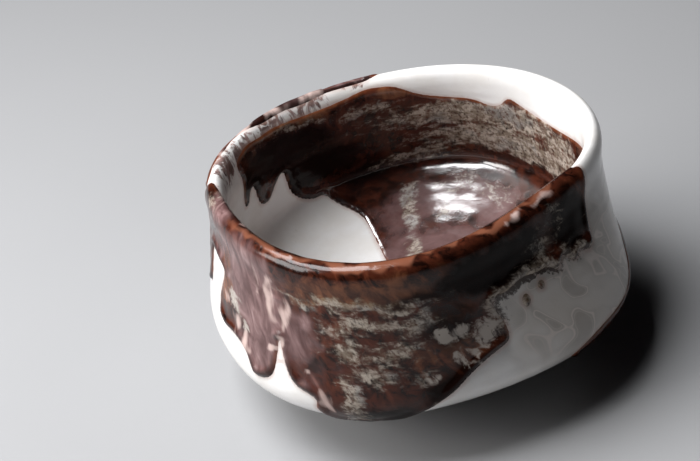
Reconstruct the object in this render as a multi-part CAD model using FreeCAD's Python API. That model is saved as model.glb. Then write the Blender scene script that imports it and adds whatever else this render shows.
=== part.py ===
"""Matcha bowl: wheel-thrown, pressed out of round while soft, and glazed in poured coats.

Millimetres, +Z up.  The origin is the centre of the foot ring's base, the bowl's front
faces -Y, and angles run anticlockwise from +X as seen from above.  Every coat lies on
one wall shape, where a place is named by an angle and a station: station 0 is the edge
of the flat underside, LIP_CROWN the top of the lip, FLOOR_EDGE the edge of the small
flat in the middle of the floor, and FLOOR_CENTRE its centre.
"""
import FreeCAD
import Part
import math
import os
from FreeCAD import Base, Vector

# ---------------------------------------------------------------- driving dimensions
FOOT_OUTER_RADIUS = 28.6
FOOT_INNER_RADIUS = 22.2
FOOT_TAPER = 1.4                # how far each side of the ring leans in at its base
FOOT_ROUNDING = 1.2             # rounding of the two edges that the bowl stands on

WHITE_COAT = 0.8                # thickness of the white glaze
IRON_COAT = 0.6                 # thickness of the iron glaze that lies on it

LIP_CROWN = 12
COAT_JOINT = 14                 # the outside coat is carried over the lip to here
FLOOR_EDGE = 25
FLOOR_CENTRE = 26
WALL_SHIFT = Vector(0, -1.0, 0)  # the pressed wall sits a little forward of the foot

# One row for each station of the glazed wall: radius, height, rim share, hip share.
# The shares say how far the rim's and the hip's pressed shape are felt there.
WALL = [
    (30.5, 7.5, 0.00, 0.00),
    (41.7, 9.3, 0.00, 0.40),
    (53.0, 13.4, 0.00, 0.76),
    (61.3, 18.4, 0.02, 0.96),
    (65.3, 22.9, 0.05, 0.95),
    (66.4, 27.3, 0.10, 0.90),   # the hip, the widest part
    (65.1, 33.5, 0.22, 0.78),
    (63.1, 42.0, 0.42, 0.58),
    (61.1, 51.4, 0.66, 0.34),
    (59.8, 59.0, 0.85, 0.15),   # the neck
    (59.8, 63.7, 0.96, 0.04),
    (59.0, 66.8, 1.00, 0.00),
    (57.2, 68.2, 1.00, 0.00),   # the crown of the lip
    (55.3, 67.2, 1.00, 0.00),
    (54.3, 64.2, 0.97, 0.03),
    (54.4, 59.0, 0.85, 0.15),
    (55.8, 49.5, 0.62, 0.38),
    (57.8, 40.1, 0.38, 0.62),
    (59.4, 32.5, 0.20, 0.80),
    (59.4, 29.2, 0.10, 0.90),   # the hip, from inside
    (56.7, 26.1, 0.04, 0.93),
    (50.4, 22.3, 0.00, 0.83),
    (40.8, 17.3, 0.00, 0.62),
    (27.8, 13.3, 0.00, 0.35),
    (14.8, 12.1, 0.00, 0.12),
    (7.0, 11.9, 0.00, 0.00),
]
# How the bowl was pressed out of round: waves per turn, amplitude, angle of one crest.
RIM_PRESS = [(2, 1.35, 38), (3, 2.70, 16), (4, 0.50, 0)]
RIM_LIFT = [(1, 1.15, -88), (2, 1.05, 54), (3, 0.75, 60)]
HIP_PRESS = [(2, 1.60, 80), (3, 1.55, -36), (4, 1.90, -26)]

# ---------------------------------------------------------------- outlines of the pours
# Corner points, as (angle, station), that each pour's soft outline is drawn through.
FRONT_POUR = [
    # inner edge of the lip, from the left to the right
    (178, 12.2), (185, 13.1), (205, 13.3), (230, 13.2), (255, 13.4), (285, 13.5),
    (315, 13.4), (332, 13.1), (338, 12.2), (338, 10.6),
    # down the right side, and back along the high right edge
    (335, 8.9), (331.5, 8.1), (330.5, 7.6), (327, 7.4), (323.5, 7.75), (320, 7.45),
    (316.5, 8.0), (313, 7.55), (310, 7.9), (305, 7.9), (300, 8.05), (294, 7.8),
    # the front right drips
    (290.5, 7.9), (289.0, 7.5), (292.0, 6.9), (292.0, 6.35), (288.0, 6.2),
    (284, 6.0), (279, 5.6), (275, 5.0), (270, 4.2), (263, 3.2), (254, 2.6), (247, 2.7),
    # the front left drip and its roll of thick glaze
    (242, 3.3), (239.3, 4.2), (240.8, 5.1), (238, 5.4), (235, 5.55), (232.3, 6.0),
    (230.6, 6.7), (229.6, 7.3), (228.6, 6.5), (227.2, 5.7), (224, 5.3), (220, 5.15),
    (217.6, 5.6), (215.5, 6.1), (210, 6.25), (203, 6.15), (197.5, 6.4), (196.8, 7.0),
    (199.8, 7.6), (201.0, 8.1), (196, 8.2), (190, 8.4), (187, 7.9), (186, 7.0),
    # the small drip on the far left
    (183.5, 6.4), (180.6, 6.7), (180, 7.8), (178.6, 9.0), (176.6, 10.3), (176.4, 11.4),
]
LEFT_POUR = [
    # inner edge of the lip, from the back to the left
    (91, 11.3), (93, 12.4), (99, 12.9), (112, 12.6), (118, 13.0), (128, 12.6),
    (136, 12.8), (141, 12.2), (145, 11.3), (150, 11.6), (156, 12.1), (161, 11.5),
    (166, 11.3), (171, 11.4), (174, 10.9),
    # lower edge, back round to the start
    (172.5, 9.6), (170.5, 8.6), (167, 7.6), (164, 8.0), (161.5, 9.2), (157, 8.8),
    (152, 7.2), (147, 5.9), (142.5, 6.4), (140, 7.9), (135, 8.6), (129, 7.4),
    (123, 6.7), (118, 7.6), (113.5, 9.3), (107, 9.7), (101, 9.0), (96.5, 9.6), (93, 10.4),
]
BACK_POUR = [
    # upper edge, from the right to the back
    (309, 3.4), (312, 4.1), (319, 4.65), (327, 4.7), (335, 4.55), (342, 5.2), (350, 6.0),
    (359, 6.3), (367, 5.7), (375, 6.6), (384, 7.7), (393, 7.9), (401, 7.0), (408, 5.8),
    (416, 5.4), (423, 4.6), (427, 3.5),
    # lower edge, where the glaze pooled before it reached the foot
    (420, 2.2), (409, 1.5), (396, 1.8), (383, 1.1), (368, 0.9), (354, 1.4), (340, 1.1),
    (326, 1.7), (315, 2.4),
]
INSIDE_POUR = [
    # upper edge, from the right round the back to the left
    (338, 14.3), (346, 14.2), (356, 14.6), (6, 15.1), (14, 15.35), (24, 15.55), (33, 15.5),
    (42, 15.25), (46, 15.0), (49.5, 15.45), (54, 15.55), (60, 15.25), (70, 15.2),
    (79, 14.95), (84, 14.4), (88, 13.9), (97, 13.6), (104, 14.05), (118, 14.15),
    (132, 13.75), (140, 13.9), (147, 13.65), (153, 14.0), (156.5, 14.3),
    # down the left drips
    (155.5, 14.9), (153.2, 15.4), (153.4, 16.4), (151, 16.7), (148.6, 15.9), (146, 16.1),
    (143.5, 17.1), (139, 17.3), (135, 16.5), (131.5, 16.2), (129.5, 17.4), (126.5, 18),
    (121.4, 19.33), (116.8, 19.22), (114, 20.39), (108.5, 21.14),
    # the straight edge across the floor, which passes left of its centre
    (106.7, 21.63), (107.4, 22.51), (109.8, 23.77), (150, 25.0), (235, 25.2), (268, 23.9),
    (274, 22.4), (275, 20.8),
    # up the front wall and along under the lip
    (273.5, 19.2), (269.5, 17.6), (271, 16.2), (266, 15.0), (267, 14.3), (285, 14.1),
    (312, 14.2),
]
# Loose drops of iron glaze outside: angle, station, width in degrees, height in stations.
DROPS = [
    (299.6, 7.30, 1.4, 0.20),
    (305.6, 7.50, 1.2, 0.14),
    (105.5, 8.05, 2.0, 0.30),
    (86.0, 9.60, 1.5, 0.20),
    (81.5, 8.70, 1.1, 0.15),
    (58.0, 8.50, 1.8, 0.26),
    (28.0, 9.30, 1.3, 0.18),
]

# ---------------------------------------------------------------- modelling resolution
COLUMNS = 90                    # sections round the wall, one every 4 degrees
MAP_CELLS = 64                  # cells each way in the map of the inside
MAP_REACH = 12.6                # how far the map goes from the floor's centre, in stations
ANGLE_STEP = 0.5                # finite differences for the wall's normal
STATION_STEP = 0.02
SETTLING_ROUNDS = 30            # enough for the poles of a closed ring to settle
DROP_CORNERS = 8
OUTLINE_SPANS = 4               # pieces that a pour's edge is cut into
SEWING_TOLERANCE = 0.005


# ---------------------------------------------------------------- the wall's shape
def smooth_curve(points, parameters):
    curve = Part.BSplineCurve()
    curve.interpolate(Points=points, Parameters=parameters)
    return curve


STATIONS = [float(number) for number in range(len(WALL))]
PROFILE = smooth_curve([Vector(row[0], row[1], 0) for row in WALL], STATIONS)
# Its third coordinate, the station, keeps rows with equal shares apart.
SHARES = smooth_curve([Vector(row[2], row[3], number) for number, row in enumerate(WALL)], STATIONS)


def wave(press, angle):
    return sum(size * math.cos(math.radians(count * (angle - crest))) for count, size, crest in press)


def glaze_point(angle, station):
    """A point on the surface of the white glaze."""
    held = min(max(station, 0), FLOOR_EDGE)
    ring = PROFILE.value(held)
    share = SHARES.value(held)
    radius = ring.x + share.x * wave(RIM_PRESS, angle) + share.y * wave(HIP_PRESS, angle)
    height = ring.y + share.x * wave(RIM_LIFT, angle)
    if station > FLOOR_EDGE:
        radius *= FLOOR_CENTRE - station
    turn = math.radians(angle)
    return Vector(radius * math.cos(turn), radius * math.sin(turn), height) + WALL_SHIFT


def lifted_point(angle, station, lift):
    """A point that stands off that surface by lift, or lies under it where lift is negative."""
    point = glaze_point(angle, station)
    if station <= 0:
        return point - Vector(0, 0, lift)
    if station >= FLOOR_EDGE:
        return point + Vector(0, 0, lift)
    around = glaze_point(angle + ANGLE_STEP, station) - glaze_point(angle - ANGLE_STEP, station)
    along = glaze_point(angle, station + STATION_STEP) - glaze_point(angle, station - STATION_STEP)
    normal = around.cross(along)
    normal.normalize()
    return point + normal * lift


def settled_ring(targets):
    """The poles of the closed cubic curve that runs through evenly spaced points."""
    poles = list(targets)
    count = len(poles)
    for _ in range(SETTLING_ROUNDS):
        poles = [(targets[i] * 6 - poles[i - 1] - poles[(i + 1) % count]) / 4 for i in range(count)]
    return poles


def wall_surface(lift, first_angle=0.0):
    """The whole wall as one surface that closes round the bowl, in degrees and stations."""
    step = 360.0 / COLUMNS
    columns = []
    for number in range(COLUMNS):
        angle = first_angle + (number - 1) * step
        points = [lifted_point(angle, station, lift) for station in STATIONS]
        columns.append(smooth_curve(points, STATIONS).getPoles())
    rings = [settled_ring(ring) for ring in zip(*columns)]
    knots = [first_angle + number * step for number in range(COLUMNS + 1)]
    surface = Part.BSplineSurface()
    surface.buildFromPolesMultsKnots(
        list(zip(*rings)), [1] * len(knots), PROFILE.getMultiplicities(),
        knots, PROFILE.getKnots(), True, False, 3, 3)
    return surface


def inside_surface(lift):
    """The inside as one patch, in stations from the floor's centre along X and along Y."""
    lines = [MAP_REACH * (2.0 * number / MAP_CELLS - 1) for number in range(MAP_CELLS + 1)]
    rows = []
    for x in lines:
        places = [(math.degrees(math.atan2(y, x)), FLOOR_CENTRE - math.hypot(x, y)) for y in lines]
        row = [lifted_point(angle, station, lift) for angle, station in places]
        rows.append(smooth_curve(row, lines).getPoles())
    sample = smooth_curve([Vector(x, 0, 0) for x in lines], lines)
    columns = [smooth_curve(list(column), lines).getPoles() for column in zip(*rows)]
    surface = Part.BSplineSurface()
    surface.buildFromPolesMultsKnots(
        list(zip(*columns)), sample.getMultiplicities(), sample.getMultiplicities(),
        sample.getKnots(), sample.getKnots(), False, False, 3, 3)
    return surface


# ---------------------------------------------------------------- solids
def closed_solid(faces):
    shape = Part.Compound(faces)
    shape.sewShape(SEWING_TOLERANCE)
    solid = Part.Solid(shape.Shells[0])
    if solid.Volume < 0:
        solid.reverse()
    return solid


def ring_edge(surface, station):
    return surface.vIso(station).toShape()


def disc_face(surface, station):
    return Part.Face(Part.Wire([ring_edge(surface, station)]))


def band_face(surface, start, end):
    first, last = surface.bounds()[:2]
    return surface.toShape(first, last, start, end)


def coat_solid(under, over, start, end):
    """A coat between two wall surfaces, from one station to another."""
    faces = [band_face(under, start, end), band_face(over, start, end)]
    faces.append(Part.makeRuledSurface(ring_edge(under, start), ring_edge(over, start)))
    if end == FLOOR_EDGE:
        faces.extend([disc_face(under, end), disc_face(over, end)])
    else:
        faces.append(Part.makeRuledSurface(ring_edge(under, end), ring_edge(over, end)))
    return closed_solid(faces)


def pour_solid(under, over, corners):
    """A coat between two surfaces, cut to a soft closed outline drawn on both of them."""
    outline = Part.Geom2d.BSplineCurve2d()
    outline.buildFromPoles([Base.Vector2d(x, y) for x, y in corners], True, 2)
    first, last = outline.FirstParameter, outline.LastParameter
    marks = [first + (last - first) * number / OUTLINE_SPANS for number in range(OUTLINE_SPANS + 1)]
    low_edges = [outline.toShape(under, a, b) for a, b in zip(marks, marks[1:])]
    high_edges = [outline.toShape(over, a, b) for a, b in zip(marks, marks[1:])]
    faces = [Part.Face(under, Part.Wire(low_edges)), Part.Face(over, Part.Wire(high_edges))]
    faces.extend(Part.makeRuledSurface(low, high) for low, high in zip(low_edges, high_edges))
    return closed_solid(faces)


# ---------------------------------------------------------------- the pieces
def clay_body(clay):
    """The thrown bowl itself, without its foot."""
    return closed_solid([band_face(clay, 0, FLOOR_EDGE), disc_face(clay, 0), disc_face(clay, FLOOR_EDGE)])


def foot_ring():
    """The turned ring that is luted under the bowl: both sides lean in, both edges are round."""
    top = WALL[0][1] + WHITE_COAT
    outer = FOOT_OUTER_RADIUS - FOOT_TAPER
    inner = FOOT_INNER_RADIUS + FOOT_TAPER
    soft = FOOT_ROUNDING
    tuck = soft * (1 - math.sqrt(0.5))
    section = [
        Part.LineSegment(Vector(FOOT_INNER_RADIUS, 0, top), Vector(FOOT_OUTER_RADIUS, 0, top)),
        Part.LineSegment(Vector(FOOT_OUTER_RADIUS, 0, top), Vector(outer, 0, soft)),
        Part.Arc(Vector(outer, 0, soft), Vector(outer - tuck, 0, tuck), Vector(outer - soft, 0, 0)),
        Part.LineSegment(Vector(outer - soft, 0, 0), Vector(inner + soft, 0, 0)),
        Part.Arc(Vector(inner + soft, 0, 0), Vector(inner + tuck, 0, tuck), Vector(inner, 0, soft)),
        Part.LineSegment(Vector(inner, 0, soft), Vector(FOOT_INNER_RADIUS, 0, top)),
    ]
    face = Part.Face(Part.Wire([line.toShape() for line in section]))
    return face.revolve(Vector(0, 0, 0), Vector(0, 0, 1), 360)


def iron_glaze_inside():
    """The iron glaze poured over the floor and swirled up the back and right walls."""
    corners = []
    for angle, station in INSIDE_POUR:
        reach = FLOOR_CENTRE - station
        turn = math.radians(angle)
        corners.append((reach * math.cos(turn), reach * math.sin(turn)))
    return pour_solid(inside_surface(0), inside_surface(IRON_COAT), corners)


def iron_glaze_back():
    """The pour round the right and back of the underside, on surfaces that start elsewhere."""
    start = 240.0
    return pour_solid(wall_surface(0, start), wall_surface(IRON_COAT, start), BACK_POUR)


def iron_glaze_drops(glaze, iron):
    """Separate drops that splashed on the outside."""
    drops = []
    for angle, station, width, height in DROPS:
        turns = [2 * math.pi * number / DROP_CORNERS for number in range(DROP_CORNERS)]
        corners = [(angle + width * math.cos(turn), station + height * math.sin(turn)) for turn in turns]
        drops.append(pour_solid(glaze, iron, corners))
    return Part.Compound(drops)


def main():
    clay = wall_surface(-WHITE_COAT)
    glaze = wall_surface(0)
    iron = wall_surface(IRON_COAT)
    pieces = {
        "clay_body": clay_body(clay),
        "foot_ring": foot_ring(),
        "white_glaze_outside": coat_solid(clay, glaze, 0, COAT_JOINT),
        "white_glaze_inside": coat_solid(clay, glaze, COAT_JOINT, FLOOR_EDGE),
        "iron_glaze_front": pour_solid(glaze, iron, FRONT_POUR),
        "iron_glaze_left": pour_solid(glaze, iron, LEFT_POUR),
        "iron_glaze_back": iron_glaze_back(),
        "iron_glaze_inside": iron_glaze_inside(),
        "iron_glaze_drops": iron_glaze_drops(glaze, iron),
    }
    os.makedirs("parts", exist_ok=True)
    for name, shape in pieces.items():
        box = shape.BoundBox
        print(f"{name}: {len(shape.Solids)} solid(s), valid {shape.isValid()}, "
              f"{shape.Volume / 1000:.2f} cm3, z {box.ZMin:.2f} to {box.ZMax:.2f}")
        shape.exportStep(f"parts/{name}.step")
    whole = Part.Compound(list(pieces.values())).BoundBox
    print(f"whole: x {whole.XMin:.2f} to {whole.XMax:.2f}, y {whole.YMin:.2f} to {whole.YMax:.2f}, "
          f"z {whole.ZMin:.2f} to {whole.ZMax:.2f}")


main()
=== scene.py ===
"""Looks of the matcha bowl: white glaze, iron glaze poured over it, and bare clay.

Metres, +Z up.  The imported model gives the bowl's shape: rays cast at its glaze nodes are
the sections of the wall, and the edges of its iron nodes are where each pour ends.  The
glaze pieces here are built on those sections, with the thickness that run glaze has.
"""

import math

import bpy
import numpy as np
from mathutils import Matrix, Vector, noise
from mathutils.bvhtree import BVHTree
from mathutils.kdtree import KDTree


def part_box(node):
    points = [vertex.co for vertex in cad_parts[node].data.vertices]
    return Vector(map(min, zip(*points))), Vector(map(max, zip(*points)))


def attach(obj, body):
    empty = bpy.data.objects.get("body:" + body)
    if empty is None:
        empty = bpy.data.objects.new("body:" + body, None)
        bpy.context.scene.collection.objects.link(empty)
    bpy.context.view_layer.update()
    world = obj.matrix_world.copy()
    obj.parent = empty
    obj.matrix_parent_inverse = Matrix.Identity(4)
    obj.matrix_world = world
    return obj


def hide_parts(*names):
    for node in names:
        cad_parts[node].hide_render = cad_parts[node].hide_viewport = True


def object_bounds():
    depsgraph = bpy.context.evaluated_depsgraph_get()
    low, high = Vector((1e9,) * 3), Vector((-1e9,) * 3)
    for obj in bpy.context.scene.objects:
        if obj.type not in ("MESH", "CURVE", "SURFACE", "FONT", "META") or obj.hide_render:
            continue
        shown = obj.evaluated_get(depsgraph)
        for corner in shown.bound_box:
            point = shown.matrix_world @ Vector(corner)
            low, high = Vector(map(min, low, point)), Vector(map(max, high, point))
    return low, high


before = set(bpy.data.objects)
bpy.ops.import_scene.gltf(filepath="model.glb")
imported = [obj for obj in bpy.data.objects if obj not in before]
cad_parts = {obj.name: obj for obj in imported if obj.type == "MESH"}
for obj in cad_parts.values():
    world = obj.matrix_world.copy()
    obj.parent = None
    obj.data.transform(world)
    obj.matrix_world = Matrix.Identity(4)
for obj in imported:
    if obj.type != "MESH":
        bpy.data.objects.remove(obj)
cad_low, cad_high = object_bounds()

MM = 0.001

# ---------------------------------------------------------------- the sampled wall
COLUMNS = 600                    # sections round the bowl
OUTSIDE_ROWS = 125               # rows from the foot up to the lip
LIP_ROWS = 15                    # rows over the lip
INSIDE_ROWS = 160                # rows from the lip to the middle of the floor
ROWS = OUTSIDE_ROWS + LIP_ROWS + INSIDE_ROWS
CROWN_ROW = OUTSIDE_ROWS + LIP_ROWS // 2
WAVES = 14                       # waves per turn that are kept from the sampled sections
RAY_START = 14 * MM              # rays start this far off the middle of the wall
WHITE_NODES = ["white_glaze_outside", "white_glaze_inside"]
POURS = {
    "iron_glaze_front": "front_pour",
    "iron_glaze_left": "left_pour",
    "iron_glaze_back": "back_pour",
    "iron_glaze_inside": "inside_pour",
    "iron_glaze_drops": "loose_drops",
}
LOOSE_DROPS = list(POURS.values()).index("loose_drops")

# The guide is a line near the middle of the wall, from which the rays start.
GUIDE_OVER_UNDERSIDE = 2.1 * MM  # its height over the clay's lowest point, at the floor's centre
FLOOR_GUIDE = [                  # share of the hip's radius, and rise in millimetres
    (0, 0), (0.2, 0), (0.42, 0.4), (0.62, 2.2), (0.78, 5.5), (0.91, 10.5),
]
HALF_WALL_AT_HIP = 3.4 * MM
HALF_WALL_AT_NECK = 2.7 * MM
NECK_SHARE = 0.83                # height of the neck, as a share of the white glaze outside
GUIDE_UNDER_CROWN = 3.2 * MM     # it ends this far below the crown of the lip
GUIDE_POINTS = 400
CROWN_PITCH = 0.6 * MM           # between the rays that look for the crown
OUT_FROM_FOOT = 2.6 * MM         # outside sections start this far out from the foot's edge
PROBE_OVER = 2 * MM              # a probe for iron glaze starts this far over the wall
PROBE_LENGTH = 2.2 * MM          # and reaches this far, just under the wall
EDGE_HALVINGS = 6                # halvings of the gap in which a pour's edge lies

# ---------------------------------------------------------------- how the glaze lies, in millimetres
THROWING_PITCH = 4.6             # between the throwing ridges
THROWING_HEIGHT = 0.045
WANDER_HEIGHT = 0.18             # of soft hollows and swellings
WANDER_SCALE = 17
RELIEF_HEIGHT = 0.12             # of the ripple in the iron glaze
RELIEF_SCALE = 5
POUR_THICK = 0.34
POUR_SHOULDER = 0.42             # how fast a pour rises from its edge
SIDE_BEAD = 0.10
LOWER_BEAD = 0.75
BEAD_MIDDLE = 1.5                # from the edge of a pour
BEAD_SPREAD = 1.3
EDGE_SINK = 0.42                 # how steeply a pour's skin sinks under the white
EDGE_SKIRT = 0.95                # how far it goes on there
SKIN_UNDER = 0.35                # least depth of its hidden side
SKIN_CLEAR = 0.1                 # least space between its two sides
TUCK_IN = 1.0                    # the white coat's hidden edge at the foot
TUCK_UP = 1.3
WHITE_STEP = 2                   # columns to a quad on the white coat
INSIDE_STEP = 2                  # columns to a quad on the inside pour
FLOW_SLANT = 0.34                # degrees round the bowl for a millimetre down it
STRAY = [(9, 3.0), (3.5, 1.6)]   # scale, and how far the colours wander from their places
PATCH_CORE, PATCH_RIM = 0.1, 1.45        # a patch fades from the first to the second, in half sizes
CALM_RUN = (34, 48)              # the glaze turns from runny on the wall to still on the floor


# ---------------------------------------------------------------- reading the frame
def tree_of(nodes):
    """A ray-casting tree over some CAD nodes, and the number of each face's node."""
    corners = []
    faces = []
    owners = []
    for number, node in enumerate(nodes):
        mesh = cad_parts[node].data
        start = len(corners)
        corners.extend(vertex.co.copy() for vertex in mesh.vertices)
        faces.extend([start + index for index in face.vertices] for face in mesh.polygons)
        owners.extend([number] * len(mesh.polygons))
    return BVHTree.FromPolygons(corners, faces), owners


def spline(points, count):
    """Points on the uniform cubic B-spline that has these control points."""
    control = np.array([points[0], *points, points[-1]], float)
    control[0] = 2 * control[1] - control[2]
    control[-1] = 2 * control[-2] - control[-3]
    spans = len(control) - 3
    place = np.linspace(0, spans, count)
    span = np.minimum(place.astype(int), spans - 1)
    t = (place - span)[:, None]
    a, b, c, d = (control[span + k] for k in range(4))
    return ((1 - t) ** 3 * a + (3 * t ** 3 - 6 * t ** 2 + 4) * b
            + (-3 * t ** 3 + 3 * t ** 2 + 3 * t + 1) * c + t ** 3 * d) / 6


def even_points(points, count):
    """The same line as evenly spaced points, by the distance in its first two columns."""
    steps = np.linalg.norm(np.diff(points[:, :2], axis=0), axis=1)
    along = np.concatenate([[0], np.cumsum(steps)])
    marks = np.linspace(0, along[-1], count)
    return np.stack([np.interp(marks, along, points[:, k]) for k in range(points.shape[1])], axis=1)


def section_guide(tree, outward, base, hip_height, neck_height):
    """The middle of the wall at one angle, from the floor's centre to inside the lip."""
    def radius_at(height):
        start = outward * cad_high.length + Vector((0, 0, height))
        place, _, _, _ = tree.ray_cast(start, -outward)
        return place.dot(outward)

    hip = radius_at(hip_height)
    neck = radius_at(neck_height)
    tops = []
    for step in range(-12, 5):
        start = outward * (neck + step * CROWN_PITCH) + Vector((0, 0, 2 * cad_high.z))
        place, _, _, _ = tree.ray_cast(start, Vector((0, 0, -1)))
        if place:
            tops.append((place.z, place.dot(outward)))
    crown_height, crown_radius = max(tops)
    hip_middle = hip - HALF_WALL_AT_HIP
    neck_middle = neck - HALF_WALL_AT_NECK
    points = [(share * hip, base + rise * MM) for share, rise in FLOOR_GUIDE]
    for share in (0, 0.25, 0.6, 1):
        points.append((hip_middle * (1 - share) + neck_middle * share,
                       hip_height * (1 - share) + neck_height * share))
    points.append((crown_radius, crown_height - GUIDE_UNDER_CROWN))
    return spline(points, GUIDE_POINTS)


def section_rays(guide, foot_radius):
    """Starts and directions, as radius and height, of the rays that meet the wall's surface."""
    slope = np.gradient(guide, axis=0)
    slope /= np.linalg.norm(slope, axis=1)[:, None]
    outer = guide[guide[:, 0] > foot_radius]
    bundle = np.hstack([guide, slope])
    outside = even_points(bundle[-len(outer):], OUTSIDE_ROWS)
    inside = even_points(bundle, INSIDE_ROWS + 1)[::-1][1:]
    tip = bundle[-1]
    turns = np.linspace(0, math.pi, LIP_ROWS + 2)[1:-1]
    along, across = tip[2:], np.array([tip[3], -tip[2]])
    fan = np.cos(turns)[:, None] * across + np.sin(turns)[:, None] * along
    middles = np.vstack([outside[:, :2], np.tile(tip[:2], (LIP_ROWS, 1)), inside[:, :2]])
    normals = np.vstack([
        np.stack([outside[:, 3], -outside[:, 2]], axis=1), fan,
        np.stack([-inside[:, 3], inside[:, 2]], axis=1)])
    normals /= np.linalg.norm(normals, axis=1)[:, None]
    return middles + normals * RAY_START, -normals


def sampled_wall():
    """The glazed wall as rows by columns of radius and height, smooth all round."""
    tree, _ = tree_of(WHITE_NODES)
    low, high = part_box(WHITE_NODES[0])
    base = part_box("clay_body")[0].z + GUIDE_OVER_UNDERSIDE
    corners = np.array([vertex.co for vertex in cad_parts[WHITE_NODES[0]].data.vertices])
    spread = np.hypot(corners[:, 0], corners[:, 1])
    hip_height = float(corners[np.argmax(spread), 2])
    neck_height = low.z + NECK_SHARE * (high.z - low.z)
    foot_edge = float(spread.min()) + OUT_FROM_FOOT
    flat = np.zeros((ROWS, COLUMNS, 2))
    for column in range(COLUMNS):
        turn = 2 * math.pi * column / COLUMNS
        outward = Vector((math.cos(turn), math.sin(turn), 0))
        guide = section_guide(tree, outward, base, hip_height, neck_height)
        starts, directions = section_rays(guide, foot_edge)
        for row, (start, direction) in enumerate(zip(starts, directions)):
            origin = outward * start[0] + Vector((0, 0, start[1]))
            aim = outward * direction[0] + Vector((0, 0, direction[1]))
            place, _, _, _ = tree.ray_cast(origin, aim)
            flat[row, column] = (place.dot(outward), place.z)
    waves = np.fft.rfft(flat, axis=1)
    waves[:, WAVES + 1:] = 0
    flat = np.fft.irfft(waves, COLUMNS, axis=1)
    flat[1:-1] = (flat[:-2] + 2 * flat[1:-1] + flat[2:]) / 4
    flat[-1, :, 0] = 0
    return flat


def unit(vectors):
    return vectors / np.maximum(np.linalg.norm(vectors, axis=-1, keepdims=True), 1e-12)


def normals_of(points):
    """Outward normals of a wall that closes round its columns."""
    around = np.roll(points, -1, axis=1) - np.roll(points, 1, axis=1)
    along = np.gradient(points, axis=0)
    normals = unit(np.cross(around, along))
    normals[-1] = (0, 0, 1)
    return normals


class Wall:
    """Points, normals and places in millimetres of the glazed wall, rows by columns."""

    def __init__(self):
        flat = sampled_wall()
        turns = 2 * np.pi * np.arange(COLUMNS) / COLUMNS
        self.degrees = np.degrees(turns)
        self.points = np.stack([
            flat[..., 0] * np.cos(turns), flat[..., 0] * np.sin(turns), flat[..., 1]], axis=-1)
        self.normals = normals_of(self.points)
        steps = np.linalg.norm(np.diff(self.points, axis=0), axis=-1) / MM
        run = np.vstack([np.zeros(COLUMNS), np.cumsum(steps, axis=0)])
        self.run = run - run[CROWN_ROW]          # below zero outside, above zero inside
        self.angle = np.tile(self.degrees, (ROWS, 1))
        self.stray_round = self.stray(6)
        self.stray_down = self.stray(8)

    def stray(self, seed):
        """How far the colours wander from their places, at each point of the wall."""
        return sum(waves_of_noise(self.points, scale * MM, seed + number) * reach
                   for number, (scale, reach) in enumerate(STRAY))

    def settle(self, lift):
        """Moves the surface along its normals, as thick and thin glaze does."""
        self.points = self.points + self.normals * (lift * MM)[..., None]
        self.normals = normals_of(self.points)


# ---------------------------------------------------------------- fields on the wall
def waves_of_noise(points, scale, seed):
    """Smooth noise from -1 to 1 whose features are about scale metres across."""
    offset = Vector((seed * 7.13, seed * 3.71, seed * 5.37))
    flat = points.reshape(-1, 3) / scale
    values = [noise.noise(Vector(place) + offset) for place in flat]
    return np.array(values).reshape(points.shape[:-1])


def smooth_step(low, high, values):
    t = np.clip((values - low) / (high - low), 0, 1)
    return t * t * (3 - 2 * t)


def patches(wall, places):
    """How far each point is inside a list of soft patches."""
    field = np.zeros(wall.run.shape)
    for angle, run, half_width, half_height, weight in places:
        turn = (wall.angle + wall.stray_round - angle + 180) % 360 - 180
        drop = wall.run + wall.stray_down - run
        away = np.hypot(turn / half_width, drop / half_height)
        field = np.maximum(field, weight * (1 - smooth_step(PATCH_CORE, PATCH_RIM, away)))
    return field


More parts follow.
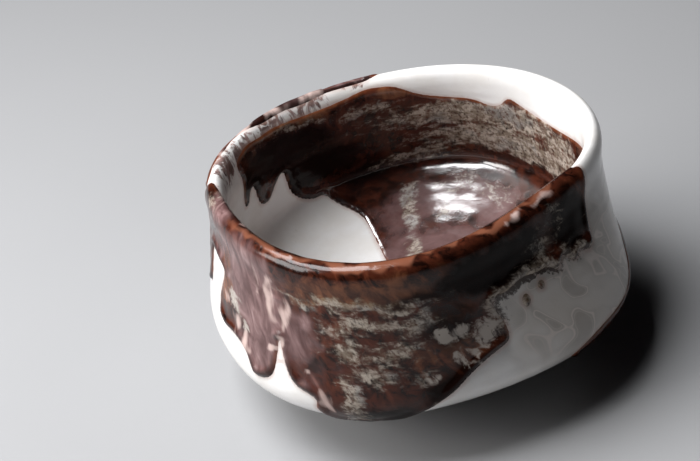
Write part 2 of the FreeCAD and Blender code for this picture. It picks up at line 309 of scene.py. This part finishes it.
class Pours:
    """Where the iron glaze lies: distance inside its edge in millimetres, and which pour."""

    def __init__(self, wall):
        self.tree, self.owners = tree_of(list(POURS))
        rows, columns = wall.run.shape
        covered = np.full((rows, columns), -1)
        for row in range(rows):
            for column in range(columns):
                covered[row, column] = self.pour_at(wall.points[row, column], wall.normals[row, column])
        self.edges, self.edge_owners = self.edge_points(wall, covered)
        finder = KDTree(len(self.edges))
        for number, place in enumerate(self.edges):
            finder.insert(place, number)
        finder.balance()
        self.depth = np.zeros((rows, columns))
        self.pour = covered.copy()
        for row in range(rows):
            for column in range(columns):
                (first, number, near), (second, _, _) = finder.find_n(wall.points[row, column], 2)
                place = Vector(wall.points[row, column])
                side = second - first
                if side.length > 1e-7:
                    share = min(max((place - first).dot(side) / side.length_squared, 0), 1)
                    near = (place - first - side * share).length
                inside = covered[row, column] >= 0
                self.depth[row, column] = near / MM * (1 if inside else -1)
                if not inside:
                    self.pour[row, column] = self.edge_owners[number]

    def pour_at(self, point, normal):
        start = Vector(point + normal * PROBE_OVER)
        _, _, face, _ = self.tree.ray_cast(start, -Vector(normal), PROBE_LENGTH)
        return -1 if face is None else self.owners[face]

    def edge_points(self, wall, covered):
        """Points on the pours' edges, found between neighbours of which one is covered."""
        edges = []
        owners = []
        for step_row, step_column in ((1, 0), (0, 1)):
            other = np.roll(covered, (-step_row, -step_column), axis=(0, 1))
            changes = np.argwhere((covered >= 0) != (other >= 0))
            for row, column in changes:
                if row + step_row >= ROWS:
                    continue
                far_row, far_column = row + step_row, (column + step_column) % COLUMNS
                ends = [wall.points[row, column], wall.points[far_row, far_column]]
                normals = [wall.normals[row, column], wall.normals[far_row, far_column]]
                starts_covered = covered[row, column] >= 0
                low, high = 0.0, 1.0
                for _ in range(EDGE_HALVINGS):
                    middle = (low + high) / 2
                    point = ends[0] * (1 - middle) + ends[1] * middle
                    normal = normals[0] * (1 - middle) + normals[1] * middle
                    if (self.pour_at(point, normal) >= 0) == starts_covered:
                        low = middle
                    else:
                        high = middle
                edges.append(Vector(ends[0] * (1 - low) + ends[1] * low))
                owners.append(max(covered[row, column], covered[far_row, far_column]))
        return edges, owners


# ---------------------------------------------------------------- pieces
def downhill(wall, depth):
    """1 where the edge of a pour is its lower edge, 0 along its sides and top."""
    change = np.gradient(depth, axis=0) / np.gradient(np.abs(wall.run), axis=0)
    return np.clip(-change, 0, 1)


def add_fields(mesh, fields):
    for name, values in fields.items():
        values = np.asarray(values, np.float32)
        kind = "FLOAT" if values.ndim == 1 else "FLOAT_VECTOR"
        attribute = mesh.attributes.new(name, kind, "POINT")
        attribute.data.foreach_set("value" if kind == "FLOAT" else "vector", values.ravel())


def make_piece(name, corners, faces, fields, material, nodes):
    """A smooth mesh piece that stands for some CAD nodes."""
    mesh = bpy.data.meshes.new(name)
    mesh.from_pydata(corners.tolist(), [], faces)
    mesh.validate()
    mesh.shade_smooth()
    add_fields(mesh, fields)
    mesh.materials.append(material)
    piece = bpy.data.objects.new(name, mesh)
    bpy.context.scene.collection.objects.link(piece)
    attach(piece, "root")
    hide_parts(*nodes)
    return piece


def flow_places(points, run):
    """Places in centimetres along the flow: the third is the run, and outside the flow slants."""
    slant = np.radians(FLOW_SLANT * np.minimum(run, 0))
    x = points[..., 0] * np.cos(slant) - points[..., 1] * np.sin(slant)
    y = points[..., 0] * np.sin(slant) + points[..., 1] * np.cos(slant)
    return np.stack([x * 100, y * 100, run / 10], axis=-1)


def white_coat(wall, pours, fields, material):
    """The white glaze as one closed form, whose hidden bottom lies inside the clay."""
    step = WHITE_STEP
    points = wall.points[:-1, ::step]
    rows, columns = points.shape[:2]
    edge = points[0]
    outward = unit(edge * (1, 1, 0))
    tucked = edge - outward * TUCK_IN * MM + np.array([0, 0, TUCK_UP * MM])
    middle = np.array([[0, 0, tucked[:, 2].mean() + TUCK_IN * MM]])
    corners = np.vstack([tucked, points.reshape(-1, 3), wall.points[-1, :1], middle])
    pole, bottom = len(corners) - 2, len(corners) - 1
    faces = []
    for row in range(rows):
        for column in range(columns):
            near = row * columns + column
            beside = row * columns + (column + 1) % columns
            faces.append((near, beside, beside + columns, near + columns))
    last = rows * columns
    for column in range(columns):
        beside = (column + 1) % columns
        faces.append((last + column, last + beside, pole))
        faces.append((beside, column, bottom))
    shown = {}
    for name, values in fields.items():
        kept = values[:-1, ::step]
        flat = kept.reshape((rows * columns,) + kept.shape[2:])
        ends = values[-1, :1], values[0, :1]
        shown[name] = np.concatenate([kept[0], flat, ends[0], ends[1]])
    return make_piece("white_coat", corners, faces, shown, material, WHITE_NODES)


def pour_height(wall, pours, relief):
    """Height of the iron glaze over the white, in millimetres; below zero outside its edge."""
    depth = pours.depth
    rise = 1 - np.exp(-np.maximum(depth, 0) / POUR_SHOULDER)
    lower = downhill(wall, depth)
    bead = np.exp(-((depth - BEAD_MIDDLE) / BEAD_SPREAD) ** 2)
    height = rise * (POUR_THICK + SIDE_BEAD * bead + LOWER_BEAD * bead * lower + relief)
    return np.where(depth > 0, height, EDGE_SINK * depth), lower


def pour_piece(wall, pours, number, height, fields, material):
    """One pour of iron glaze as a closed skin whose edge sinks into the white."""
    node = list(POURS)[number]
    name = POURS[node]
    step = INSIDE_STEP if name == "inside_pour" else 1
    points = wall.points[:, ::step]
    normals = wall.normals[:, ::step]
    rows, columns = points.shape[:2]
    wanted = (pours.pour[:, ::step] == number) & (pours.depth[:, ::step] > -EDGE_SKIRT)
    wanted[-1] = wanted[-1].any()
    whole = (wanted[:-1] & wanted[1:] & np.roll(wanted[:-1], -1, axis=1)
             & np.roll(wanted[1:], -1, axis=1))
    index = np.arange(rows * columns).reshape(rows, columns)
    index[-1] = index[-1, 0]
    rows_in, columns_in = np.nonzero(whole)
    after = (columns_in + 1) % columns
    quads = np.stack([index[rows_in, columns_in], index[rows_in, after],
                      index[rows_in + 1, after], index[rows_in + 1, columns_in]], axis=1)
    used, quads = np.unique(quads, return_inverse=True)
    quads = quads.reshape(-1, 4)
    lift = height[:, ::step].reshape(-1, 1)[used] * MM
    flat_points = points.reshape(-1, 3)[used]
    flat_normals = normals.reshape(-1, 3)[used]
    top = flat_points + flat_normals * lift
    below = flat_points - flat_normals * np.maximum(-lift + SKIN_CLEAR * MM, SKIN_UNDER * MM)
    count = len(used)
    borders = {}
    for quad in quads:
        for start, end in zip(quad, np.roll(quad, -1)):
            if (end, start) in borders:
                del borders[(end, start)]
            elif start != end:
                borders[(start, end)] = True
    faces = [tuple(dict.fromkeys(quad)) for quad in quads.tolist()]
    faces += [tuple(count + corner for corner in reversed(face)) for face in faces]
    faces += [(int(end), int(start), int(start) + count, int(end) + count) for start, end in borders]
    shown = {}
    for key, values in fields.items():
        kept = values[:, ::step]
        flat = kept.reshape((rows * columns,) + kept.shape[2:])[used]
        shown[key] = np.concatenate([flat, flat])
    corners = np.vstack([top, below])
    return make_piece(name, corners, faces, shown, material, [node])


# ---------------------------------------------------------------- materials
class Shader:
    """Builds one material out of nodes."""

    def __init__(self, name):
        self.material = bpy.data.materials.new(name)
        self.material.use_nodes = True
        self.tree = self.material.node_tree
        self.tree.nodes.clear()

    def node(self, kind, inputs, **settings):
        node = self.tree.nodes.new("ShaderNode" + kind)
        for key, value in settings.items():
            setattr(node, key, value)
        for key, value in inputs.items():
            if isinstance(value, bpy.types.NodeSocket):
                self.tree.links.new(value, node.inputs[key])
            else:
                node.inputs[key].default_value = value
        return node

    def field(self, name):
        return self.node("Attribute", {}, attribute_name=name).outputs["Fac"]

    def flow(self, stretch=(1, 1, 1)):
        places = self.node("Attribute", {}, attribute_name="flow").outputs["Vector"]
        return self.stretched(places, stretch)

    def math(self, operation, first, second=0.0):
        return self.node("Math", {0: first, 1: second}, operation=operation).outputs[0]

    def stretched(self, places, stretch):
        return self.node("VectorMath", {0: places, 1: stretch}, operation="MULTIPLY").outputs[0]

    def add(self, first, second):
        return self.math("ADD", first, second)

    def times(self, first, second):
        return self.math("MULTIPLY", first, second)

    def sway(self, value, noise, amount):
        """The value, raised or lowered by up to half the amount where the noise says."""
        return self.add(value, self.times(self.add(noise, -0.5), amount))

    def noise(self, places, scale, detail=3.0, roughness=0.55, twist=0.0):
        inputs = {"Vector": places, "Scale": scale, "Detail": detail, "Roughness": roughness,
                  "Distortion": twist}
        return self.node("TexNoise", inputs).outputs["Fac"]

    def cells(self, places, scale):
        return self.node("TexVoronoi", {"Vector": places, "Scale": scale}).outputs["Distance"]

    def step(self, value, low, high):
        inputs = {"Value": value, "From Min": low, "From Max": high}
        return self.node("MapRange", inputs, interpolation_type="SMOOTHSTEP").outputs["Result"]

    def blend(self, share, first, second):
        inputs = {0: share}
        for number, colour in ((6, first), (7, second)):
            inputs[number] = (*colour, 1) if isinstance(colour, tuple) else colour
        return self.node("Mix", inputs, data_type="RGBA").outputs[2]

    def paint(self, hue, share, colour, strength=1.0):
        """The colour over the hue, as far as its share says."""
        return self.blend(self.times(share, strength), hue, colour)

    def between(self, share, first, second):
        return self.node("Mix", {0: share, 2: first, 3: second}).outputs[0]

    def bump(self, height, depth_mm, before=None):
        inputs = {"Height": height, "Strength": 1.0, "Distance": depth_mm * MM}
        if before is not None:
            inputs["Normal"] = before
        return self.node("Bump", inputs).outputs["Normal"]

    def finish(self, colour, roughness, normal, ior):
        inputs = {"Base Color": colour, "Roughness": roughness, "Normal": normal, "IOR": ior}
        shader = self.node("BsdfPrincipled", inputs)
        output = self.node("OutputMaterial", {})
        self.tree.links.new(shader.outputs[0], output.inputs["Surface"])
        return self.material


# ---------------------------------------------------------------- colours and refractive indices
DARK_BROWN = (0.010, 0.0030, 0.0020)
RED_BROWN = (0.060, 0.0145, 0.0072)
RUNNING_RUST = (0.150, 0.040, 0.019)
PLUM = (0.082, 0.039, 0.037)
LILAC = (0.215, 0.128, 0.124)
PALE_LILAC = (0.38, 0.27, 0.26)
DARK_RUST = (0.065, 0.022, 0.011)
RUST = (0.19, 0.070, 0.032)
GLAZE_BLACK_AND_SHADE = (0.0030, 0.0016, 0.0013)
LIP_BROWN = (0.20, 0.072, 0.040)
THIN_EDGE = (0.22, 0.066, 0.028)
HEAVY_BEAD = (0.016, 0.006, 0.005)
DARK_STONE = (0.200, 0.158, 0.118)
STONE = (0.470, 0.405, 0.340)
BLUE_STONE = (0.27, 0.275, 0.275)
OLIVE = (0.22, 0.150, 0.072)
ISLAND_GREY = (0.42, 0.375, 0.335)
SWIRL_PINK = (0.56, 0.42, 0.38)
WARM_WHITE = (0.76, 0.735, 0.705)
COOL_WHITE = (0.82, 0.81, 0.80)
# Painted shade on the white at the right front, with greyer pools and pale lines of painted reflection in
# it.
SHADED_WHITE = (0.40, 0.355, 0.315)
SHADE_POOL_GREY = (0.23, 0.20, 0.175)
REFLECTION_LOOPS = [                        # painted reflection lines: level of the noise, outer and inner width, colour, strength
    (0.50, 0.030, 0.006, (0.66, 0.59, 0.55), 0.75),
    (0.57, 0.014, 0.003, (0.60, 0.53, 0.49), 0.45),
]
STAIN_BROWN = (0.085, 0.030, 0.022)
STAIN_PINK = (0.22, 0.115, 0.100)
NEAR_IRON = (0.40, 0.23, 0.18)
FEATHER_BROWN = (0.030, 0.016, 0.011)
SPOT_BROWN = (0.20, 0.11, 0.07)
BUFF_CLAY = (0.40, 0.30, 0.215)
PALE_CLAY = (0.52, 0.42, 0.32)
TURNED_CLAY = (0.33, 0.21, 0.135)
GROG_BROWN = (0.16, 0.10, 0.07)
FLOOR_GREY = (0.31, 0.31, 0.315)
FLOOR_PALE = (0.35, 0.35, 0.355)
IRON_IOR = 1.38
BLACK_AND_SHADE_IOR = 1.20                 # lets the black glaze and the painted shade reflect little of the pale floor
FLOOR_IOR = 2.15                 # gives the bowl's inside floor its bright highlight
WHITE_IOR = 1.50
CLAY_IOR = 1.45
GROUND_IOR = 1.40

# ---------------------------------------------------------------- where the glaze changes, and where shade and a highlight are painted
# Soft patches: angle, run, half width in degrees, half height in millimetres, weight.
PURPLE = [
    (214, -15, 22, 17, 1.0), (226, -27, 15, 12, 1.0), (236, -25, 9, 10, 0.9), (219, -36, 12, 10, 0.8),
    (238, -38, 12, 10, 0.55), (247, -34, 7, 8, 0.4), (196, 0, 14, 5, 0.8), (112, 0, 24, 4, 0.9),
    (150, -3, 26, 5, 0.8), (60, 58, 60, 13, 0.75), (80, 74, 90, 12, 0.7), (100, 92, 180, 18, 0.75),
    (20, 62, 30, 20, 0.9), (60, -30, 30, 14, 0.8), (95, -22, 22, 12, 0.7), (300, 70, 60, 40, 0.9),
]
SPECKLE_AND_HIGHLIGHT = [
    (254, -19, 13, 4.5, 1.0), (268, -20.5, 9, 4.0, 1.0), (250, -27, 9, 5, 1.0), (262, -27, 11, 4, 0.9),
    (256, -34, 11, 5, 0.8), (249.5, -42, 4, 12, 1.0), (250, -51, 5, 5, 0.9), (309, -14, 9, 7, 0.75),
    (250, -12.5, 24, 3.2, 0.9), (266, -15, 12, 3, 0.8), (210, -25, 6, 6, 0.7),
    (268, -37, 4, 4, 0.9), (318, -8, 5, 6, 0.6),
    (268, -30, 8, 4, 0.45), (274, -47, 4, 5, 0.7), (279, -27, 9, 7, 0.45),
    (57, 19, 46, 7, 1.35), (48, 30, 42, 8, 1.4), (82, 37, 22, 4, 0.9), (22, 24, 16, 10, 1.2),
    (96, 12, 16, 5, 0.75), (88, 58, 5, 13, 1.3), (88, 76, 7, 9, 1.2), (74, 62, 5, 6, 0.9),
    (122, 8, 24, 3, 0.7), (192, 5, 14, 5, 0.8), (188, -2, 10, 4, 0.7), (100, -18, 30, 4, 0.8),
    # The patch at 60 degrees and run 53, on the inside floor, is pale speckle and partly a painted
    # highlight.
    (70, -26, 26, 5, 0.9), (45, -34, 16, 4, 0.7), (60, 53, 28, 5, 0.7),
]
PALE = [
    (211, -31, 3.5, 4, 1.0), (217, -34, 2.4, 5, 1.0), (229, -31.5, 5, 1.8, 1.2), (205, -27, 2, 4, 0.7),
    (232.5, -27, 2.4, 4, 1.2), (227, -16, 2.8, 7, 0.95), (233, -19, 2.4, 6, 0.9), (221, -11, 2.2, 8, 0.7),
    (237, -35.5, 1.8, 2.4, 0.8), (243, -45, 1.4, 3, 0.7), (303, -1, 6, 1.6, 0.8), (316, -1, 6, 1.6, 0.8),
    (115, 1.5, 7, 2.2, 0.9), (130, 1, 6, 2, 0.9), (212, 3, 6, 2, 0.8), (240, 2.4, 6, 1.4, 0.6),
    (101, 0, 3, 2.5, 0.8), (142, -1, 4, 3, 0.9), (157, 0, 4, 4, 0.8), (166, -2, 3, 4, 0.7),
    (190, 2, 6, 3, 0.7),
]
ISLANDS = [
    (276, -26, 6, 5, 1.0), (287, -29, 7, 7, 1.0), (269.5, -37, 3, 3, 0.9), (280, -35, 5, 4, 0.8),
    (209, -25, 5, 7, 1.0), (216, -30, 4, 6, 0.9), (275, -47, 3, 4, 0.7),
]
# Near-black glaze, partly painted shade: it also darkens the outside's front right and low front and the
# inside's left wall, where the bowl lies in shade.
BLACK_AND_SHADE = [
    (292, -11, 26, 9, 1.0), (322, -12, 12, 10, 1.0), (270, -12, 14, 4, 0.6), (298, -19, 12, 7, 0.8),
    (278, -43, 14, 9, 0.9), (258, -50, 14, 6, 0.8), (276, -24, 9, 12, 0.6),
    (135, 16, 30, 9, 1.0), (118, 27, 24, 10, 0.9),
    (100, 38, 18, 7, 0.7), (88, 14, 12, 5, 0.35), (250, -48, 30, 5, 0.35),
]
AMBER = [
    (258, -8, 28, 7, 0.8), (240, -9, 14, 7, 0.7), (200.5, -24, 3.0, 7, 1.0), (204, -14, 3, 8, 0.7),
    (270, -33, 16, 10, 0.5), (88, 6, 10, 3, 1.0), (128, 6, 24, 2.6, 0.9), (146, 11, 5, 6, 0.7),
    (204, -22, 5, 10, 1.0), (280, -32, 12, 8, 0.6), (276, -20, 10, 5, 0.5),
    (28, 14, 22, 2.4, 0.5), (150, -6, 20, 3, 0.5), (110, 4, 12, 2, 0.8), (60, 14, 24, 2, 0.4),
]
LIP = [
    (225, 0.2, 22, 1.3, 0.9), (258, 0.3, 30, 1.5, 1.0), (295, 0.4, 24, 1.4, 1.0),
    (322, 0.0, 14, 1.4, 0.9),
]
STAIN = [
    (165, 4, 14, 7, 1.1), (150, 4, 10, 7, 1.1), (134, 4, 10, 6, 1.1), (118, 3, 12, 5, 1.1),
    (103, 1, 9, 3, 1.0), (188, 5, 10, 4, 0.7), (222, 4, 24, 2, 0.6),
]
FEATHER = [(300, -23, 22, 14, 1.0), (320, -18, 12, 12, 0.7), (60, -38, 24, 8, 0.9)]
SHADE = [(322, -31, 36, 24, 1.0)]


def wall_ripple(wall):
    """Throwing ridges and soft hollows, in millimetres."""
    wander = waves_of_noise(wall.points, WANDER_SCALE * MM, 1)
    drift = waves_of_noise(wall.points, 2.4 * WANDER_SCALE * MM, 2)
    turns = 2 * np.pi * (wall.run + 2.5 * drift) / THROWING_PITCH + np.radians(wall.angle)
    amount = smooth_step(3, 12, np.abs(wall.run))
    fade = smooth_step(0, 45, wall.run.max() - wall.run)
    ridges = THROWING_HEIGHT * np.sin(turns) * (0.5 + 0.5 * drift) * fade
    return amount * (ridges + WANDER_HEIGHT * wander)


def iron_material():
    iron = Shader("iron_glaze")
    flow = iron.flow()
    broad = iron.noise(flow, 0.9)
    blotch = iron.noise(flow, 2.4, 5, 0.62, 0.6)
    drips = iron.noise(iron.flow((1, 1, 0.42)), 2.4, 3.5, 0.5, 0.9)
    banded = iron.noise(iron.flow((1, 1, 2.0)), 2.4, 5, 0.62, 0.5)
    grain = iron.noise(iron.flow((1, 1, 0.55)), 9, 4, 0.66)
    holes = iron.cells(iron.flow((1, 1, 0.8)), 6.5)
    calm = iron.field("calm")
    drips = iron.between(iron.times(calm, 0.75), drips, 0.5)

    hue, purple, amber, black_and_shade = iron_ground(iron, broad, blotch, drips)
    # Pale speckle, partly a painted highlight on the inside floor.
    speckle_and_highlight, stone = iron_speckle_and_highlight(iron, amber, broad, banded, grain, holes)
    hue = iron.paint(hue, speckle_and_highlight, stone, 0.86)
    shore = iron.sway(iron.sway(iron.field("islands"), blotch, 2.4), grain, 0.5)
    island = iron.times(iron.step(shore, 0.60, 1.0), iron.step(holes, 0.03, 0.2))
    hue = iron.paint(hue, island, ISLAND_GREY, 0.85)
    swirl = iron.step(iron.sway(iron.field("pale"), drips, 1.2), 0.35, 1.0)
    hue = iron.paint(hue, swirl, SWIRL_PINK, 0.85)

    satin = iron.times(purple, iron.math("SUBTRACT", 1.0, calm))
    roughness = iron.between(satin, 0.15, 0.26)
    roughness = iron.between(black_and_shade, roughness, 0.11)
    roughness = iron.between(iron.times(speckle_and_highlight, 0.6), roughness, 0.32)
    relief = iron.bump(blotch, 0.07, iron.bump(grain, 0.02))
    ior = iron.between(calm, iron.between(black_and_shade, IRON_IOR, BLACK_AND_SHADE_IOR), FLOOR_IOR)
    return iron.finish(hue, roughness, relief, ior)


def iron_ground(iron, broad, blotch, drips):
    """The glaze's own browns, purples and blacks, with painted shade in the black, and the shares of three
    of them.
    """
    depth = iron.field("depth")
    lower = iron.field("lower")
    hue = iron.blend(iron.step(blotch, 0.36, 0.60), DARK_BROWN, RED_BROWN)
    hue = iron.paint(hue, iron.step(drips, 0.52, 0.74), RUNNING_RUST, 0.55)
    lilac = iron.blend(iron.step(drips, 0.28, 0.72), PLUM, LILAC)
    lilac = iron.paint(lilac, iron.step(drips, 0.56, 0.82), PALE_LILAC, 0.5)
    purple = iron.step(iron.sway(iron.field("purple"), broad, 0.9), 0.28, 0.78)
    hue = iron.paint(hue, purple, lilac)

    amber = iron.step(iron.sway(iron.field("amber"), blotch, 1.1), 0.35, 0.80)
    streak = iron.add(iron.times(drips, 0.7), iron.times(blotch, 0.3))
    hue = iron.paint(hue, amber, iron.blend(iron.step(streak, 0.36, 0.66), DARK_RUST, RUST))
    # The black glaze, with painted shade where the bowl lies in shade.
    black_and_shade = iron.step(iron.sway(iron.field("black_and_shade"), blotch, 0.9), 0.22, 0.72)
    hue = iron.paint(hue, black_and_shade, GLAZE_BLACK_AND_SHADE, 0.94)
    lip = iron.step(iron.sway(iron.field("lip"), blotch, 0.35), 0.10, 0.8)
    hue = iron.paint(hue, lip, LIP_BROWN, 0.92)

    thin = iron.times(iron.step(iron.sway(depth, blotch, 4.0), 1.4, -0.4),
                      iron.step(lower, 0.5, 0.1))
    hue = iron.paint(hue, thin, THIN_EDGE, 0.6)
    heavy = iron.times(lower, iron.step(depth, 3.0, 1.2))
    return iron.paint(hue, heavy, HEAVY_BEAD, 0.85), purple, amber, black_and_shade


def iron_speckle_and_highlight(iron, amber, broad, banded, grain, holes):
    """Where the pale lace with its dark pits lies, and its colour; on the inside floor it is partly a
    painted highlight.
    """
    edge = iron.step(iron.field("depth"), 7.0, 0.0)
    ragged = iron.times(iron.times(iron.field("feather"), edge), 1.1)
    share = iron.math("MAXIMUM", iron.times(iron.field("speckle_and_highlight"), 0.92), ragged)
    area = iron.step(iron.sway(share, banded, 1.5), 0.30, 0.95)
    lace = iron.step(iron.add(grain, iron.times(area, 0.10)), 0.42, 0.66)
    pits = iron.step(iron.sway(holes, grain, 0.6), 0.05, 0.27)
    speckle_and_highlight = iron.times(iron.times(area, iron.between(lace, 0.22, 1.0)),
                         iron.between(pits, 0.10, 1.0))
    stone = iron.blend(iron.step(banded, 0.42, 0.62), DARK_STONE, STONE)
    stone = iron.paint(stone, iron.step(broad, 0.50, 0.66), BLUE_STONE, 0.5)
    return speckle_and_highlight, iron.paint(stone, amber, OLIVE, 0.8)


def white_material():
    white = Shader("white_glaze")
    flow = white.flow()
    soft = white.noise(flow, 0.8, 3)
    cloud = white.noise(flow, 1.9, 4, 0.6, 0.7)
    grain = white.noise(white.flow((1, 1, 0.7)), 9, 5, 0.7)
    pits = white.cells(flow, 5.5)
    depth = white.field("depth")
    hue = white.blend(white.step(soft, 0.3, 0.7), WARM_WHITE, COOL_WHITE)
    # Painted shade and painted reflection lines at the right front.
    hue = painted_shade_and_reflections(white, hue, flow)

    streaks = white.noise(white.flow((1, 1, 0.4)), 3.2, 4, 0.6, 1.2)
    stain = white.step(white.sway(white.times(white.field("stain"), 0.9), streaks, 2.6), 0.55, 0.95)
    brown = white.blend(white.step(cloud, 0.45, 0.60), STAIN_BROWN, STAIN_PINK)
    hue = white.paint(hue, stain, brown, 0.9)
    near = white.step(white.sway(depth, cloud, 2.2), -1.7, 0.1)
    hue = white.paint(hue, near, NEAR_IRON, 0.45)
    ragged = white.times(white.field("feather"), white.step(depth, -6.0, 0.0))
    ragged = white.step(white.sway(ragged, grain, 1.6), 0.50, 0.85)
    hue = white.paint(hue, ragged, FEATHER_BROWN, 0.92)
    spots = white.times(white.step(pits, 0.045, 0.02), white.step(soft, 0.52, 0.62))
    hue = white.paint(hue, spots, SPOT_BROWN, 0.6)
    roughness = white.between(white.step(cloud, 0.35, 0.7), 0.10, 0.17)
    return white.finish(hue, roughness, white.bump(cloud, 0.12), WHITE_IOR)


def painted_shade_and_reflections(white, hue, flow):
    """Painted shade on the white glaze, greyer pools in it and their pale outlines, which are painted
    reflections.
    """
    shade = white.field("shade")
    loop_noise = white.noise(flow, 0.85, 0.6, 0.4, 0.9)
    shade_pool = white.times(white.step(shade, 0.05, 0.7), white.step(loop_noise, 0.34, 0.66))
    hue = white.paint(hue, white.step(shade, 0.0, 0.8), SHADED_WHITE, 0.65)
    # Painted shade: greyer pools within the shaded white.
    hue = white.paint(hue, shade_pool, SHADE_POOL_GREY, 0.45)
    # Painted reflections: pale lines along levels of the noise, within the shade.
    for level, outer, inner, colour, strength in REFLECTION_LOOPS:
        away = white.math("ABSOLUTE", white.add(loop_noise, -level))
        line = white.times(white.step(away, outer, inner), white.step(shade, 0.2, 0.7))
        hue = white.paint(hue, line, colour, strength)
    return hue


def clay_material():
    clay = Shader("bare_clay")
    places = clay.node("TexCoord", {}).outputs["Object"]
    broad = clay.noise(places, 70, 3)
    grit = clay.noise(places, 1500, 4, 0.65)
    grog = clay.cells(places, 620)
    marks = clay.noise(clay.stretched(places, (1, 1, 9)), 160, 4)
    hue = clay.blend(clay.step(broad, 0.35, 0.65), BUFF_CLAY, PALE_CLAY)
    hue = clay.paint(hue, clay.step(marks, 0.42, 0.62), TURNED_CLAY, 0.4)
    hue = clay.paint(hue, clay.step(grog, 0.16, 0.08), GROG_BROWN, 0.6)
    height = clay.add(clay.times(grit, 0.6), clay.times(marks, 0.5))
    return clay.finish(hue, clay.between(grit, 0.72, 0.92), clay.bump(height, 0.12), CLAY_IOR)


def floor_material():
    floor = Shader("floor")
    places = floor.node("TexCoord", {}).outputs["Object"]
    hue = floor.blend(floor.noise(places, 3, 3), FLOOR_GREY, FLOOR_PALE)
    relief = floor.bump(floor.noise(places, 900, 2), 0.02)
    return floor.finish(hue, 0.6, relief, GROUND_IOR)


# ---------------------------------------------------------------- the bowl's pieces
wall = Wall()
pours = Pours(wall)
wall.settle(wall_ripple(wall))
relief_noise = waves_of_noise(wall.points, RELIEF_SCALE * MM, 4)
height, lower = pour_height(wall, pours, RELIEF_HEIGHT * relief_noise)
flow = flow_places(wall.points, wall.run)
iron_fields = {
    "flow": flow, "depth": pours.depth, "lower": lower,
    "purple": patches(wall, PURPLE), "speckle_and_highlight": patches(wall, SPECKLE_AND_HIGHLIGHT), "pale": patches(wall, PALE),
    "black_and_shade": patches(wall, BLACK_AND_SHADE), "amber": patches(wall, AMBER), "feather": patches(wall, FEATHER),
    "islands": patches(wall, ISLANDS), "lip": patches(wall, LIP), "calm": smooth_step(*CALM_RUN, wall.run),
}
white_fields = {
    "flow": flow, "depth": pours.depth, "shade": patches(wall, SHADE), "stain": patches(wall, STAIN),
    "feather": np.where(pours.pour == LOOSE_DROPS, 0, iron_fields["feather"]),
}
white_coat(wall, pours, white_fields, white_material())
iron = iron_material()
for number in range(len(POURS)):
    pour_piece(wall, pours, number, height, iron_fields, iron)
clay = clay_material()
for node in ("clay_body", "foot_ring"):
    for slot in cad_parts[node].material_slots:
        slot.material = clay

# ---------------------------------------------------------------- floor, lights and camera
FLOOR_SIZE = 6.0
floor_mesh = bpy.data.meshes.new("floor")
half = FLOOR_SIZE / 2
floor_corners = [(-half, -half, 0), (half, -half, 0), (half, half, 0), (-half, half, 0)]
floor_mesh.from_pydata(floor_corners, [], [(0, 1, 2, 3)])
floor = bpy.data.objects.new("floor", floor_mesh)
bpy.context.scene.collection.objects.link(floor)
floor_mesh.materials.append(floor_material())

ROOM_COLOUR = (0.006, 0.0063, 0.007, 1)
world = bpy.data.worlds.new("world")
world.use_nodes = True
world.node_tree.nodes["Background"].inputs["Color"].default_value = ROOM_COLOUR
world.node_tree.nodes["Background"].inputs["Strength"].default_value = 1.0
bpy.context.scene.world = world

AIM = Vector((0, -1.0 * MM, 38.6 * MM))      # the point that the camera and the lamps face


def softbox(name, place, size, power, colour):
    light = bpy.data.lights.new(name, "AREA")
    light.shape = "RECTANGLE"
    light.size, light.size_y = size
    light.energy = power
    light.color = colour
    lamp = bpy.data.objects.new(name, light)
    lamp.location = place
    lamp.rotation_euler = (AIM - Vector(place)).to_track_quat("-Z", "Y").to_euler()
    bpy.context.scene.collection.objects.link(lamp)


softbox("left_softbox", place=(-0.82, -0.12, 0.44), size=(0.5, 0.4), power=6.2, colour=(1.0, 0.99, 0.98))
softbox("top_softbox", place=(-0.29, 0.02, 0.65), size=(0.46, 0.46), power=9.0, colour=(0.97, 0.98, 1.0))

CAMERA_DISTANCE = 0.6034
CAMERA_RISE = math.radians(33)
CAMERA_ROLL = math.radians(-9.45)
CAMERA_TURN = math.radians(1.76488)
CAMERA_TIP = math.radians(0.20926)
LENS = 100                       # millimetres, as the sensor's width is
SENSOR = 36
camera_data = bpy.data.cameras.new("camera")
camera_data.lens = LENS
camera_data.sensor_width = SENSOR
camera = bpy.data.objects.new("camera", camera_data)
bpy.context.scene.collection.objects.link(camera)
back = Vector((0, -math.cos(CAMERA_RISE), math.sin(CAMERA_RISE)))
aimed = (-back).to_track_quat("-Z", "Y").to_matrix().to_4x4()
turned = (Matrix.Rotation(CAMERA_ROLL, 4, "Z") @ Matrix.Rotation(CAMERA_TURN, 4, "Y")
          @ Matrix.Rotation(CAMERA_TIP, 4, "X"))
camera.matrix_world = Matrix.Translation(AIM + back * CAMERA_DISTANCE) @ aimed @ turned
bpy.context.scene.camera = camera
bpy.context.scene.view_settings.view_transform = "Standard"
